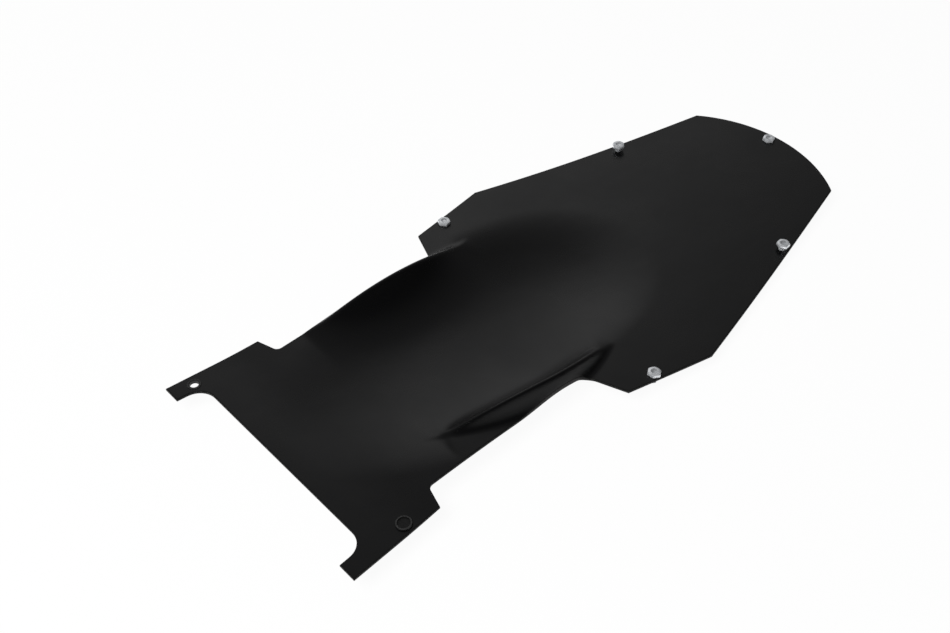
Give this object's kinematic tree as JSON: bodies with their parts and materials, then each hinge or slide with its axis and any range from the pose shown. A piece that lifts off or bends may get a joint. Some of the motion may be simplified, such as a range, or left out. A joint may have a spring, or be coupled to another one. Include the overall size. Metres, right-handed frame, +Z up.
{
  "type": "motorcycle undertray",
  "caption": "Thin moulded motorcycle undertray with a shallow oval tyre basin between two ridges, front ears and a wide tail plate, with its fixing bolts and rubber ear fittings.",
  "frame": {"origin": "on the bench, under the middle of the tray's bounding box", "axes": "+X to the right when seen from the ears with the smooth face up, +Y from the ears to the tail, +Z up. The tray lies as it rests on its basin and side bolts, so the plate is 0.3 degrees tail-down."},
  "size_m": [0.27, 0.5855, 0.0336],
  "materials": {
    "gel_coat": "gloss black gel-coat over glass fibre",
    "zinc": "bright zinc plate",
    "rubber": "satin black"
  },
  "bodies": {
    "root": {"undertray_shell": "gel_coat", "fixing_bolts": "zinc", "side_bolts": "zinc", "ear_grommet": "rubber", "ear_plug": "rubber"}
  },
  "joints": []
}
